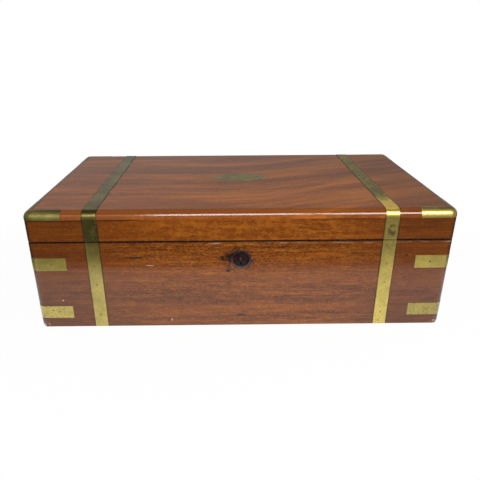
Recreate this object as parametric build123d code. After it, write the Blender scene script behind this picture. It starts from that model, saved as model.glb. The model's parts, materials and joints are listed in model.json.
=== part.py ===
from build123d import *

import math
import os

# A brass bound writing slope, shut. X runs along its length, the lock side faces -Y, the hinge side
# faces +Y and Z is up. The origin is on the table, under the middle of the box. All sizes are in mm.
#
# The box is cut by a slanting seam, high at the lock and half way up at the hinges. Opened flat, the
# lid's writing flap and the base's writing flap make one continuous slope.

# ---- The box -----------------------------------------------------------------------------------
width = 500.0
depth = 280.0
height = 152.0
lid_depth_at_lock = 37.0
wall = 12.0
bottom_board_thickness = 8.0
bottom_board_rebate = 3.0
lid_board_thickness = 10.4
lid_edge_radius = 9.2
plan_corner_beyond_edge = 1.6
foot_corner_radius = 9.0
foot_edge_radius = 1.6
seam_gap = 0.8
seam_arris = 0.5
lid_joint_arris = 0.3
hinge_axis_behind_box = 0.5

# ---- Brass let into the outside ----------------------------------------------------------------
brass_inlay = 1.0
brass_proud = 0.2
strap_proud = 0.4
glue_line = 0.05
brass_side_gap = 0.15
strap_width = 15.4
strap_from_end = 76.8
strap_lap_under_box = 20.0
corner_strap_leg = 43.5
corner_strap_width = 16.5
lower_corner_strap_height = 13.5
upper_corner_strap_below_seam = 20.0
lid_corner_leg = 44.0
lid_corner_band = 10.0
cartouche_half_length = 46.0
cartouche_half_width = 21.0
cartouche_shoulder_length = 32.0
cartouche_shoulder_width = 4.8
cartouche_lobe_length = 21.0
cartouche_lobe_width = 13.4
cartouche_waist = 6.5
cartouche_waist_width = 18.4
cartouche_roundness = 0.62
cartouche_thickness = 1.2

# ---- Lock --------------------------------------------------------------------------------------
key_below_seam = 23.5
escutcheon_diameter = 23.8
escutcheon_bore = 18.8
escutcheon_thickness = 2.6
escutcheon_proud = 0.6
escutcheon_rim_radius = 0.5
escutcheon_floor_depth = 1.6
keyhole_diameter = 4.6
keyhole_slot_width = 2.2
keyhole_slot_length = 7.0
drill_pin_diameter = 2.0
wood_before_lock = 3.6
lock_case_width = 62.0
lock_case_depth = 41.0
lock_case_plate = 1.0
lock_plate_overhang = 6.0
lock_plate_thickness = 1.6
lock_plate_setback = 1.6
lock_fit = 0.1
ward_chamber_diameter = 15.0
staple_spacing = 28.0
staple_thickness = 2.4
staple_depth = 4.2
staple_drop = 12.5
staple_eye_height = 3.4
staple_eye_depth = 2.6
staple_eye_floor = 2.0
staple_swing = 1.9
bolt_clearance = 0.5
bolt_eye_clearance = 0.35
bolt_travel = 5.0
bolt_arm_width = 2.8
bolt_bar_height = 5.0

# ---- Hinges of the box -------------------------------------------------------------------------
hinge_length = 64.0
hinge_from_strap = 63.2
hinge_leaf_width = 11.0
hinge_leaf_thickness = 1.2
hinge_barrel_diameter = 5.0
hinge_pin_diameter = 2.4
hinge_knuckles = 5
running_clearance = 0.05
knuckle_gap = 0.3
knuckle_room = 0.3

# ---- Writing flaps -----------------------------------------------------------------------------
flap_below_rim = 0.8
flap_thickness = 8.0
flap_side_gap = 0.6
rest_gap = 0.2
flap_rail_width = 12.0
flap_rail_thickness = 10.0
batten_width = 6.0
batten_height = 6.0
leather_border = 17.0
leather_thickness = 0.9
flap_hinge_length = 24.0
flap_hinge_from_end = 95.0
flap_hinge_leaf_width = 8.0
flap_hinge_leaf_thickness = 0.8
flap_hinge_barrel_diameter = 2.0
flap_hinge_pin_diameter = 1.0
flap_hinge_knuckles = 3

# ---- Turn catch of the lid flap ----------------------------------------------------------------
catch_from_middle = 90.0
catch_reach = 11.5
catch_hub_diameter = 8.0
catch_tip_width = 4.5
catch_thickness = 0.55
catch_room = 0.1
catch_pivot_diameter = 3.0
catch_pivot_length = 6.0
catch_pivot_from_outside = 6.5

# ---- Pen well, pen tray and ink ------------------------------------------------------------------
pen_well_width = 49.0
partition_thickness = 7.0
ink_compartment_length = 46.0
divider_thickness = 6.0
divider_below_rim = 0.8
ink_floor_thickness = 6.0
tray_depth = 24.3
tray_bearer_size = 6.0
tray_side_gap = 0.6
tray_below_rim = 1.0
trough_radius = 18.0
trough_end_wall = 6.0
trough_floor = 6.0
inkwell_below_rim = 5.1
inkwell_side = 42.0
inkwell_glass_height = 33.0
inkwell_edge_radius = 3.0
inkwell_shoulder = 2.0
inkwell_neck_diameter = 26.0
inkwell_neck_height = 4.0
inkwell_bore = 19.0
inkwell_well_diameter = 30.0
inkwell_glass_floor = 6.0
inkwell_glass_roof = 4.0
collar_diameter = 31.0
collar_height = 5.6
collar_lip = 1.0
cap_height = 6.8
cap_edge_radius = 3.0
cap_hinge_length = 12.0
cap_hinge_barrel_diameter = 3.0
cap_hinge_pin_diameter = 1.5
cap_hinge_beyond_collar = 1.8
cap_gap = 0.3
cap_hinge_knuckles = 3

# ---- Places worked out from those sizes ----------------------------------------------------------
left, right = -1, 1
front, back = -1, 1
box_end = width / 2
box_side = depth / 2
inner_end = box_end - wall
inner_side = box_side - wall
plan_corner_radius = lid_edge_radius + plan_corner_beyond_edge
lid_board_underside = height - lid_board_thickness
hinge_axis_y = box_side + hinge_axis_behind_box
hinge_axis_z = height / 2
lock_side_seam_height = height - lid_depth_at_lock
seam_slope = (lock_side_seam_height - hinge_axis_z) / (hinge_axis_y + box_side)
seam_angle = math.atan(seam_slope)
seam_normal = (0, math.sin(seam_angle), math.cos(seam_angle))
half_gap = seam_gap / 2
reach = 2 * (width + depth + height)

strap_x = box_end - strap_from_end
hinge_x = strap_x - hinge_from_strap
flap_hinge_x = inner_end - flap_hinge_from_end
partition_front = -inner_side + pen_well_width
partition_back = partition_front + partition_thickness
rail_front = inner_side - flap_rail_width
divider_x = inner_end - ink_compartment_length
pen_well_middle = (partition_front - inner_side) / 2
flap_surface = half_gap + flap_below_rim
flap_underside = flap_surface + flap_thickness
key_height = lock_side_seam_height - key_below_seam

# The seam's own frame: its origin is on the hinge axis, its X runs along the box, its Y runs along
# the seam towards the back and its Z stands square to the seam, into the lid.
seam = Plane(origin=(0, hinge_axis_y, hinge_axis_z), x_dir=(1, 0, 0), z_dir=seam_normal).location
along_x = Rot(0, 90, 0)


# ---- Helpers -------------------------------------------------------------------------------------
def block(x_range, y_range, z_range):
    """A box between the given pairs of coordinates."""
    low = Vector(min(x_range), min(y_range), min(z_range))
    high = Vector(max(x_range), max(y_range), max(z_range))
    size = high - low
    middle = (low + high) / 2
    return Pos(middle.X, middle.Y, middle.Z) * Box(size.X, size.Y, size.Z)


def slab(low, high):
    """The space between two planes parallel to the seam, at heights above it (below it if negative)."""
    return seam * block((-reach, reach), (-reach, reach), (low, high))


def upright(x_range, y_range):
    """A tall upright block over a rectangle of the plan."""
    return block(x_range, y_range, (-reach, reach))


def along_z(radius, low, high):
    """An upright round bar on the Z axis between two heights."""
    return Pos(0, 0, (low + high) / 2) * Cylinder(radius, high - low)


def rim_height(y):
    """How high the seam runs at a distance from front to back."""
    return hinge_axis_z + (hinge_axis_y - y) * seam_slope


def outer_form(grow=0.0):
    """The shut box with its faces moved outwards by grow (inwards if negative), never below the ground."""
    top = height + grow
    foot = max(0.0, -grow)
    middle = (top + foot) / 2
    plan = RectangleRounded(width + 2 * grow, depth + 2 * grow, plan_corner_radius + grow)
    form = Pos(0, 0, foot) * extrude(plan, top - foot)
    form = fillet(form.faces().sort_by(Axis.Z)[-1].edges(), lid_edge_radius + grow)
    elevations = ((Plane.XZ, width, foot_corner_radius), (Plane.YZ, depth, foot_edge_radius))
    for plane, length, foot_radius in elevations:
        face = Rectangle(length + 2 * grow, top - foot)
        face = fillet(face.vertices().group_by(Axis.Y)[0], foot_radius + grow)
        form &= Pos(0, 0, middle) * extrude(plane * face, reach, both=True)
    return form


def mitred(side):
    """The space of one wall board, ending at 45 degree mitres through the box's corners."""
    margin = wall
    far_x = box_end + margin
    far_y = box_side + margin
    ridge = box_end - box_side
    outlines = {
        "front": [(-far_x, -far_y), (far_x, -far_y), (ridge, 0), (-ridge, 0)],
        "back": [(far_x, far_y), (-far_x, far_y), (-ridge, 0), (ridge, 0)],
        "right": [(far_x, -far_y), (far_x, far_y), (ridge, 0)],
        "left": [(-far_x, far_y), (-far_x, -far_y), (-ridge, 0)],
    }
    outline = make_face(Polyline(*outlines[side], close=True))
    return Pos(0, 0, -height) * extrude(outline, 3 * height)


def hinge_leaf(length, knuckles, first, barrel, bore, plate):
    """One leaf of a butt hinge about X: its plate, every second knuckle, and room for the other leaf's."""
    pitch = length / knuckles
    leaf = plate
    for index in range(knuckles):
        place = Pos(pitch * (index + 0.5) - length / 2, 0, 0) * along_x
        if index % 2 == first:
            leaf += place * Cylinder(barrel / 2, pitch - knuckle_gap)
        else:
            leaf -= place * Cylinder(barrel / 2 + knuckle_room, pitch + knuckle_gap)
    if bore > 0:
        leaf -= along_x * Cylinder(bore / 2, 2 * length)
    return leaf


def mirrored_pair(shape):
    """The shape and its mirror image on the other end of the box, as one group."""
    return Compound([shape, mirror(shape, Plane.YZ)])


os.makedirs("parts", exist_ok=True)


def save(name, shape):
    """Write one piece, or one group of like pieces, under its own name."""
    solids = shape.solids()
    export_step(solids[0] if len(solids) == 1 else Compound(list(solids)), f"parts/{name}.step")


# ---- Regions of the outside brass ----------------------------------------------------------------
below_seam = slab(-reach, -half_gap)
above_seam = slab(half_gap, reach)


def strap_region(side, gap=0.0):
    """The space of the straps at one end of the box."""
    half = strap_width / 2 + gap
    return upright((side * strap_x - half, side * strap_x + half), (-reach, reach))


def strap_end(face, gap=0.0):
    """The front or the back of the base, as far in as its straps lap under the box."""
    lap = box_side - strap_lap_under_box - gap
    return upright((-reach, reach), (face * lap, face * reach))


def corner_region(side, face, low, high, leg, gap=0.0):
    """The space at one upright corner, a leg long each way, between two heights."""
    x_range = (side * (box_end - leg - gap), side * reach)
    y_range = (face * (box_side - leg - gap), face * reach)
    return block(x_range, y_range, (low - gap, high + gap))


def lid_corner_region(side, face, gap=0.0):
    """The space of the brass over the rounded edge of the lid at one corner."""
    band = lid_corner_band + gap
    corner = corner_region(side, face, height - lid_corner_band, reach, lid_corner_leg, gap)
    inside = block(
        (-box_end + band, box_end - band),
        (-box_side + band, box_side - band),
        (0, 2 * reach),
    )
    return corner - inside


upper_strap_top = lock_side_seam_height - upper_corner_strap_below_seam
lid_back_strap_middle = (hinge_axis_z + lid_board_underside) / 2
lower_strap_heights = (lower_corner_strap_height, lower_corner_strap_height + corner_strap_width)
upper_strap_heights = (upper_strap_top - corner_strap_width, upper_strap_top)
lid_back_strap_heights = (
    lid_back_strap_middle - corner_strap_width / 2,
    lid_back_strap_middle + corner_strap_width / 2,
)
corner_straps = {
    "front_left_lower_corner_strap": [(left, front, *lower_strap_heights)],
    "front_right_lower_corner_strap": [(right, front, *lower_strap_heights)],
    "front_left_upper_corner_strap": [(left, front, *upper_strap_heights)],
    "front_right_upper_corner_strap": [(right, front, *upper_strap_heights)],
    "back_lower_corner_straps": [(side, back, *lower_strap_heights) for side in (left, right)],
    "lid_back_corner_straps": [(side, back, *lid_back_strap_heights) for side in (left, right)],
}


# ---- Wooden bodies before they are cut into boards -------------------------------------------------
box_form = outer_form()
inlay_floor = outer_form(glue_line - brass_inlay)
brass_skin = outer_form(brass_proud) - inlay_floor
long_strap_skin = outer_form(strap_proud) - inlay_floor
inlay_skin = outer_form(brass_inlay) - outer_form(-brass_inlay)

inlay_regions = [strap_region(side, brass_side_gap) & above_seam for side in (left, right)]
for side in (left, right):
    for face in (front, back):
        base_strap = strap_region(side, brass_side_gap) & strap_end(face, brass_side_gap)
        inlay_regions.append(base_strap & below_seam)
        inlay_regions.append(lid_corner_region(side, face, brass_side_gap))
for corners in corner_straps.values():
    for corner in corners:
        inlay_regions.append(corner_region(*corner, corner_strap_leg, brass_side_gap))
inlay_channels = [inlay_skin & region for region in inlay_regions]


def with_channels(board):
    """Cut the shallow beds of the brass into a board of the outside."""
    return board - inlay_channels


cavity = block((-inner_end, inner_end), (-inner_side, inner_side), (0, lid_board_underside))

base_form = box_form & below_seam
base_form = chamfer(base_form.faces().sort_by(Axis(seam.position, seam_normal))[-1].edges(), seam_arris)
bottom_board = box_form & block(
    (-inner_end - bottom_board_rebate, inner_end + bottom_board_rebate),
    (-inner_side - bottom_board_rebate, inner_side + bottom_board_rebate),
    (0, bottom_board_thickness),
)
base_walls = base_form - cavity - bottom_board

lid_form = box_form & above_seam
lid_form = chamfer(lid_form.faces().sort_by(Axis(seam.position, seam_normal))[0].edges(), seam_arris)
lid_walls = lid_form & block((-reach, reach), (-reach, reach), (0, lid_board_underside))
lid_walls = chamfer(lid_walls.faces().sort_by(Axis.Z)[-1].edges(), lid_joint_arris) - cavity
lid_top = lid_form & block((-reach, reach), (-reach, reach), (lid_board_underside, reach))
lid_top = chamfer(lid_top.faces().sort_by(Axis.Z)[0].edges(), lid_joint_arris)

base_boards = {name: base_walls & mitred(name) for name in ("front", "back", "left", "right")}
lid_boards = {name: lid_walls & mitred(name) for name in ("front", "back", "left", "right")}


# ---- Hinges of the box -----------------------------------------------------------------------------
hinge_bore = hinge_pin_diameter + 2 * running_clearance


def leaf_plate(face_of_seam, fit=0.0):
    """The flat plate of a box hinge's leaf, in the seam's frame, under the seam (-1) or over it (+1)."""
    half = hinge_length / 2 + fit
    thickness_range = (face_of_seam * half_gap, face_of_seam * (half_gap + hinge_leaf_thickness))
    return block((-half, half), (-hinge_leaf_width - fit, 0), thickness_range)


def hinge_bed(face_of_seam):
    """What one hinge takes out of the board that it is let into: its leaf's bed and its barrel's hollow."""
    bed = leaf_plate(face_of_seam, lock_fit)
    hollow = along_x * Cylinder(hinge_barrel_diameter / 2 + knuckle_room, hinge_length + 2 * knuckle_room)
    return bed + hollow


base_leaf = hinge_leaf(
    hinge_length, hinge_knuckles, 0, hinge_barrel_diameter, hinge_bore, leaf_plate(-1)
)
lid_leaf = hinge_leaf(
    hinge_length, hinge_knuckles, 1, hinge_barrel_diameter, hinge_bore, leaf_plate(1)
)
hinge_pin = along_x * Cylinder(hinge_pin_diameter / 2, hinge_length - knuckle_gap)
for side in (left, right):
    place = seam * Pos(side * hinge_x, 0, 0)
    base_boards["back"] -= place * hinge_bed(-1)
    lid_boards["back"] -= place * hinge_bed(1)


def at_both_hinges(shape):
    """The same hinge part at the left and the right hinge."""
    return Compound([seam * Pos(side * hinge_x, 0, 0) * shape for side in (left, right)])


save("hinge_base_leaves", at_both_hinges(base_leaf))
save("hinge_lid_leaves", at_both_hinges(lid_leaf))
save("hinge_pins", at_both_hinges(hinge_pin))


# ---- Lock: escutcheon, case, top plate, bolt, and the link plate in the lid --------------------------
key_place = Pos(0, -box_side, key_height) * Rot(90, 0, 0)
escutcheon_bed_depth = escutcheon_thickness - escutcheon_proud
escutcheon = along_z(escutcheon_diameter / 2, -escutcheon_bed_depth, escutcheon_proud)
escutcheon -= along_z(escutcheon_bore / 2, -escutcheon_bed_depth, escutcheon_proud)
rim_edges = escutcheon.edges().filter_by(GeomType.CIRCLE).group_by(Axis.Z)[-1]
escutcheon = fillet(rim_edges, escutcheon_rim_radius)
save("key_escutcheon", key_place * escutcheon)

escutcheon_bed = along_z(escutcheon_diameter / 2 + glue_line, -escutcheon_bed_depth, 0)
escutcheon_core = along_z(escutcheon_bore / 2 - glue_line, -escutcheon_bed_depth, -escutcheon_floor_depth)
keyhole_outline = Circle(keyhole_diameter / 2) + Pos(0, -keyhole_slot_length / 2, 0) * Rectangle(
    keyhole_slot_width, keyhole_slot_length
)
keyhole = extrude(keyhole_outline, -(wood_before_lock + lock_case_plate))
base_boards["front"] -= key_place * (escutcheon_bed - escutcheon_core + keyhole)

case_front = -box_side + wood_before_lock
case_bottom = lock_side_seam_height - lock_case_depth
case_half = lock_case_width / 2
plate_underside = -half_gap - lock_plate_thickness
case_space = upright((-case_half, case_half), (case_front, -inner_side))
case_space &= block((-reach, reach), (-reach, reach), (case_bottom, reach))
lock_case_form = case_space & slab(-reach, plate_underside)

plate_half = case_half + lock_plate_overhang
plate_front = -box_side + lock_plate_setback
lock_plate = upright((-plate_half, plate_half), (plate_front, -inner_side))
lock_plate &= slab(plate_underside, -half_gap)
link_plate = upright((-plate_half, plate_half), (plate_front, -inner_side))
link_plate &= slab(half_gap, half_gap + lock_plate_thickness)

mortise = block(
    (-case_half - lock_fit, case_half + lock_fit),
    (case_front - lock_fit, -inner_side + wall),
    (case_bottom - lock_fit, reach),
)
plate_bed = upright(
    (-plate_half - lock_fit, plate_half + lock_fit), (plate_front - lock_fit, -inner_side + wall)
)
base_boards["front"] -= [mortise, plate_bed & slab(plate_underside, reach)]
lid_boards["front"] -= plate_bed & slab(-reach, half_gap + lock_plate_thickness)

# The staples hang from the link plate and pass through slots in the lock's top plate. They swing
# back a little as the lid rises, so the slots are longer towards the back.
staple_front = case_front + lock_case_plate + bolt_clearance
staple_back = staple_front + staple_depth
staple_bottom = rim_height(staple_front) - staple_drop
eye_bottom = staple_bottom + staple_eye_floor
eye_middle_y = (staple_front + staple_back) / 2
staple_places = (-staple_spacing / 2, staple_spacing / 2)
chamber_back = staple_back + staple_swing
bolt_bar_top = staple_bottom - bolt_clearance
bolt_bar_bottom = bolt_bar_top - bolt_bar_height
bolt_rest = -staple_thickness / 2 - bolt_clearance
bolt_arm_right = bolt_rest - bolt_travel
bolt_arm_left = bolt_arm_right - bolt_arm_width
bolt_left = staple_places[0] + bolt_arm_left
bolt_right = staple_places[-1] + bolt_arm_right
eye_y = (eye_middle_y - staple_eye_depth / 2, eye_middle_y + staple_eye_depth / 2)
eye_z = (eye_bottom, eye_bottom + staple_eye_height)
bolt_y = (eye_y[0] + bolt_eye_clearance, eye_y[1] - bolt_eye_clearance)
bolt_finger_z = (eye_z[0] + bolt_eye_clearance, eye_z[1] - bolt_eye_clearance)

for staple_x in staple_places:
    staple_x_range = (staple_x - staple_thickness / 2, staple_x + staple_thickness / 2)
    staple = block(staple_x_range, (staple_front, staple_back), (staple_bottom, reach))
    staple &= slab(-reach, half_gap + lock_plate_thickness)
    staple -= block((-reach, reach), eye_y, eye_z)
    link_plate += staple
    slot_x = (staple_x_range[0] - bolt_clearance, staple_x_range[1] + bolt_clearance)
    lock_plate -= upright(slot_x, (staple_front - bolt_clearance, chamber_back))

lock_bolt = block((bolt_left, bolt_right), bolt_y, (bolt_bar_bottom, bolt_bar_top))
for staple_x in staple_places:
    arm = (staple_x + bolt_arm_left, staple_x + bolt_arm_right)
    finger = (staple_x + bolt_arm_left, staple_x + bolt_rest)
    lock_bolt += block(arm, bolt_y, (bolt_bar_bottom, bolt_finger_z[1]))
    lock_bolt += block(finger, bolt_y, bolt_finger_z)

bolt_chamber = block(
    (bolt_left - bolt_clearance, staple_places[-1] + staple_thickness / 2 + bolt_travel),
    (case_front + lock_case_plate, chamber_back),
    (bolt_bar_bottom - bolt_clearance, reach),
)
ward_depth = wall - wood_before_lock - 2 * lock_case_plate
ward_front = -wood_before_lock - lock_case_plate
ward_chamber = along_z(ward_chamber_diameter / 2, ward_front - ward_depth, ward_front)
ward_chamber -= along_z(drill_pin_diameter / 2, ward_front - ward_depth, ward_front)
case_keyhole = Pos(0, 0, -wood_before_lock) * extrude(keyhole_outline, -lock_case_plate)
case_keyhole -= along_z(drill_pin_diameter / 2, ward_front, 0)
lock_case = lock_case_form - bolt_chamber - key_place * ward_chamber - key_place * case_keyhole

save("lock_case", lock_case)
save("lock_plate", lock_plate)
save("lock_bolt", lock_bolt)
save("lock_link_plate", link_plate)


# ---- Turn catch of the lid flap, in a shallow pocket of the lid's front rim ---------------------------
catch_place = seam * Pos(
    catch_from_middle, (catch_pivot_from_outside - box_side - hinge_axis_y) / math.cos(seam_angle), 0
)
catch_underside = half_gap + running_clearance
catch_top = catch_underside + catch_thickness
catch_tip = Pos(catch_reach - catch_tip_width / 2, 0, 0) * Circle(catch_tip_width / 2)
catch_outline = make_hull((Circle(catch_hub_diameter / 2).edges() + catch_tip.edges()))
catch = Pos(0, 0, catch_underside) * extrude(catch_outline, catch_thickness)
catch += along_z(catch_pivot_diameter / 2, catch_top, catch_top + catch_pivot_length)
save("lid_flap_catch", catch_place * catch)
pocket_floor = catch_top + catch_room
pocket_edge = -catch_hub_diameter / 2 - catch_room
pocket = along_z(catch_reach + catch_room, half_gap, pocket_floor)
pocket &= block((pocket_edge, reach), (pocket_edge, reach), (0, reach))
pivot_hole = along_z(
    catch_pivot_diameter / 2 + running_clearance, half_gap, pocket_floor + catch_pivot_length
)
lid_boards["front"] -= catch_place * (pocket + pivot_hole)


# ---- Boards and brass of the outside --------------------------------------------------------------
for name, board in base_boards.items():
    save(f"base_{name}_board", with_channels(board))
save("base_bottom_board", with_channels(bottom_board))
for name, board in lid_boards.items():
    save(f"lid_{name}_board", with_channels(board))


def cartouche_outline(grow=0.0):
    """A lobed lozenge: each quarter runs tip, hollow, shoulder, lobe, notch, lobe, waist point."""
    tip = Vector(cartouche_half_length + grow, 0)
    shoulder = Vector(cartouche_shoulder_length + grow, cartouche_shoulder_width + grow)
    notch = Vector(cartouche_lobe_length + grow, cartouche_lobe_width + grow)
    waist = Vector(cartouche_waist + grow, cartouche_waist_width + grow)
    point = Vector(0, cartouche_half_width + grow)
    outline = Curve() + [
        Line(tip, shoulder),
        RadiusArc(shoulder, notch, -(notch - shoulder).length * cartouche_roundness),
        RadiusArc(notch, waist, -(waist - notch).length * cartouche_roundness),
        Line(waist, point),
    ]
    outline += mirror(outline, Plane.YZ)
    outline += mirror(outline, Plane.XZ)
    return make_face(outline)


cartouche_floor = height - cartouche_thickness
cartouche = Pos(0, 0, cartouche_floor) * extrude(cartouche_outline(), cartouche_thickness)
save("lid_cartouche", cartouche)
lid_top -= Pos(0, 0, cartouche_floor) * extrude(cartouche_outline(glue_line), reach)
save("lid_top_board", with_channels(lid_top))

for side, side_name in ((left, "left"), (right, "right")):
    strap_skin = long_strap_skin & strap_region(side)
    save(f"lid_{side_name}_strap", strap_skin & above_seam)
    for face, face_name in ((front, "front"), (back, "back")):
        save(f"base_{face_name}_{side_name}_strap", strap_skin & below_seam & strap_end(face))
        corner = brass_skin & lid_corner_region(side, face)
        save(f"lid_{face_name}_{side_name}_corner_mount", corner)
for name, corners in corner_straps.items():
    save(name, Compound([brass_skin & corner_region(*corner, corner_strap_leg) for corner in corners]))


# ---- Writing flaps, their rails, battens, leathers and hinges ------------------------------------------
flap_end = inner_end - flap_side_gap
flap_bore = flap_hinge_pin_diameter + 2 * running_clearance


def writing_half(name, face_of_seam, flap_front, wall_behind_edge):
    """The writing surface of one half. The lid's half is laid out as the base's is, upside down."""
    surface = face_of_seam * flap_surface
    underside = face_of_seam * flap_underside
    leather_back = face_of_seam * (flap_surface + leather_thickness)

    rail = upright((-inner_end, inner_end), (rail_front, inner_side))
    rail &= slab(surface, face_of_seam * (flap_surface + flap_rail_thickness))
    flap = upright((-flap_end, flap_end), (flap_front + flap_side_gap, rail_front - flap_side_gap))
    flap &= slab(surface, underside)
    leather = upright(
        (-flap_end + leather_border, flap_end - leather_border),
        (flap_front + flap_side_gap + leather_border, rail_front - flap_side_gap - leather_border),
    )
    leather &= slab(surface, leather_back)
    flap -= leather

    batten_top = underside + face_of_seam * rest_gap
    batten_slab = slab(batten_top, batten_top + face_of_seam * batten_height)
    front_batten = upright((-inner_end, inner_end), (wall_behind_edge, wall_behind_edge + batten_width))
    battens = [front_batten & batten_slab]
    for side in (left, right):
        side_batten = upright(
            (side * inner_end, side * (inner_end - batten_width)),
            (wall_behind_edge + batten_width, rail_front),
        )
        battens.append(side_batten & batten_slab)

    half = flap_hinge_length / 2
    hinge_height = face_of_seam * flap_surface
    hinge_line = rail_front - flap_side_gap / 2 - hinge_axis_y - hinge_height * math.sin(seam_angle)
    leaf_heights = (0, face_of_seam * flap_hinge_leaf_thickness)
    fixed_plate = block((-half, half), (0, flap_hinge_leaf_width), leaf_heights)
    moving_plate = block((-half, half), (-flap_hinge_leaf_width, 0), leaf_heights)
    fixed = hinge_leaf(
        flap_hinge_length, flap_hinge_knuckles, 0, flap_hinge_barrel_diameter, 0, fixed_plate
    )
    fixed += along_x * Cylinder(flap_hinge_pin_diameter / 2, flap_hinge_length - knuckle_gap)
    moving = hinge_leaf(
        flap_hinge_length, flap_hinge_knuckles, 1, flap_hinge_barrel_diameter, flap_bore, moving_plate
    )
    fixed_leaves = []
    moving_leaves = []
    for side in (left, right):
        place = seam * Pos(side * flap_hinge_x, hinge_line / math.cos(seam_angle), hinge_height)
        fixed_leaves.append(place * fixed)
        moving_leaves.append(place * moving)
        bed_half = half + lock_fit
        bed_reach = flap_hinge_leaf_width + lock_fit
        bed = block((-bed_half, bed_half), (-bed_reach, bed_reach), leaf_heights)
        barrel_bed = along_x * Cylinder(
            flap_hinge_barrel_diameter / 2 + knuckle_room, flap_hinge_length + 2 * knuckle_room
        )
        flap -= place * (bed + barrel_bed)
        rail -= place * (bed + barrel_bed)

    save(f"{name}_flap_rail", rail)
    save(f"{name}_flap_battens", Compound(battens))
    save(f"{name}_writing_flap", flap)
    save(f"{name}_writing_leather", leather)
    save(f"{name}_flap_hinge_fixed_leaves", Compound(fixed_leaves))
    save(f"{name}_flap_hinge_moving_leaves", Compound(moving_leaves))


writing_half("base", -1, partition_back, partition_back)
writing_half("lid", 1, -inner_side, -inner_side)


# ---- Pen well: partition, dividers, floors, bearers, tray ----------------------------------------------
# The inkwells' caps and the tray hang at set depths under the rim, and the floors come up to meet them.
neck_top = inkwell_glass_height + inkwell_neck_height
collar_top = inkwell_glass_height + collar_height
cap_bottom = collar_top + cap_gap
inkwell_back = pen_well_middle + inkwell_side / 2
glass_bottom = rim_height(inkwell_back) - inkwell_below_rim - cap_bottom - cap_height
ink_floor_top = glass_bottom - rest_gap

under_rim = slab(-reach, -half_gap)
pen_well = upright((-inner_end, inner_end), (-inner_side, partition_front))
pen_well &= block((-reach, reach), (-reach, reach), (bottom_board_thickness, reach))

partition = upright((-inner_end, inner_end), (partition_front, partition_back))
partition &= block((-reach, reach), (-reach, reach), (bottom_board_thickness, reach))
save("pen_well_partition", partition & under_rim)

divider = pen_well & upright((divider_x - divider_thickness, divider_x), (-reach, reach))
divider &= slab(-reach, -half_gap - divider_below_rim)
save("ink_dividers", mirrored_pair(divider))

ink_floor = pen_well & block(
    (divider_x, inner_end), (-reach, reach), (ink_floor_top - ink_floor_thickness, ink_floor_top)
)
save("inkwell_floors", mirrored_pair(ink_floor))

tray_well_end = divider_x - divider_thickness
tray_bottom = rim_height(partition_front) - tray_depth
bearer_top = tray_bottom - rest_gap
bearer = pen_well & block(
    (tray_well_end - tray_bearer_size, tray_well_end),
    (-reach, reach),
    (bearer_top - tray_bearer_size, bearer_top),
)
save("pen_tray_bearers", mirrored_pair(bearer))

tray_end = tray_well_end - tray_side_gap
tray = block(
    (-tray_end, tray_end),
    (-inner_side + tray_side_gap, partition_front - tray_side_gap),
    (tray_bottom, reach),
)
tray &= slab(-reach, -half_gap - tray_below_rim)
trough_length = 2 * (tray_end - trough_end_wall - trough_radius)
trough = along_x * Cylinder(trough_radius, trough_length)
for side in (left, right):
    trough += Pos(side * trough_length / 2, 0, 0) * Sphere(trough_radius)
trough_middle_z = tray_bottom + trough_floor + trough_radius
save("pen_tray", tray - Pos(0, pen_well_middle, trough_middle_z) * trough)


# ---- Inkwells: glass, collar and hinged cap --------------------------------------------------------------
glass = RectangleRounded(inkwell_side, inkwell_side, inkwell_edge_radius)
glass = extrude(glass, inkwell_glass_height)
glass = chamfer(glass.faces().sort_by(Axis.Z)[-1].edges(), inkwell_shoulder)
glass += along_z(inkwell_neck_diameter / 2, inkwell_glass_floor, neck_top)
ink_profile = Polyline(
    (0, inkwell_glass_floor),
    (inkwell_well_diameter / 2, inkwell_glass_floor),
    (inkwell_well_diameter / 2, inkwell_glass_height - inkwell_glass_roof),
    (inkwell_bore / 2, inkwell_glass_height),
    (inkwell_bore / 2, neck_top + collar_height),
    (0, neck_top + collar_height),
    close=True,
)
glass -= revolve(Plane.XZ * make_face(ink_profile), Axis.Z)

collar_profile = Polyline(
    (inkwell_neck_diameter / 2 + glue_line, inkwell_glass_height + glue_line),
    (collar_diameter / 2, inkwell_glass_height + glue_line),
    (collar_diameter / 2, collar_top),
    (inkwell_bore / 2, collar_top),
    (inkwell_bore / 2, collar_top - collar_lip),
    (inkwell_neck_diameter / 2 + glue_line, collar_top - collar_lip),
    close=True,
)
collar = revolve(Plane.XZ * make_face(collar_profile), Axis.Z)
cap_axis_y = collar_diameter / 2 + cap_hinge_beyond_collar
cap_axis_z = collar_top + cap_gap / 2
cap_axis_place = Pos(0, cap_axis_y, cap_axis_z)
cap_bore = cap_hinge_pin_diameter + 2 * running_clearance
cap_half = cap_hinge_length / 2
lug_reach = cap_hinge_beyond_collar + collar_lip
collar_lug = block((-cap_half, cap_half), (-lug_reach, 0), (-cap_hinge_barrel_diameter / 2, -cap_gap / 2))
collar += cap_axis_place * (
    hinge_leaf(cap_hinge_length, cap_hinge_knuckles, 0, cap_hinge_barrel_diameter, 0, collar_lug)
    + along_x * Cylinder(cap_hinge_pin_diameter / 2, cap_hinge_length - knuckle_gap)
)
cap = along_z(collar_diameter / 2, cap_bottom, cap_bottom + cap_height)
cap = fillet(cap.edges().filter_by(GeomType.CIRCLE).group_by(Axis.Z)[-1], cap_edge_radius)
cap_lug = block((-cap_half, cap_half), (-lug_reach, 0), (cap_gap / 2, cap_hinge_barrel_diameter / 2))
cap -= cap_axis_place * along_x * Cylinder(cap_hinge_barrel_diameter / 2 + knuckle_room, cap_hinge_length)
cap += cap_axis_place * hinge_leaf(
    cap_hinge_length, cap_hinge_knuckles, 1, cap_hinge_barrel_diameter, cap_bore, cap_lug
)

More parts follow.
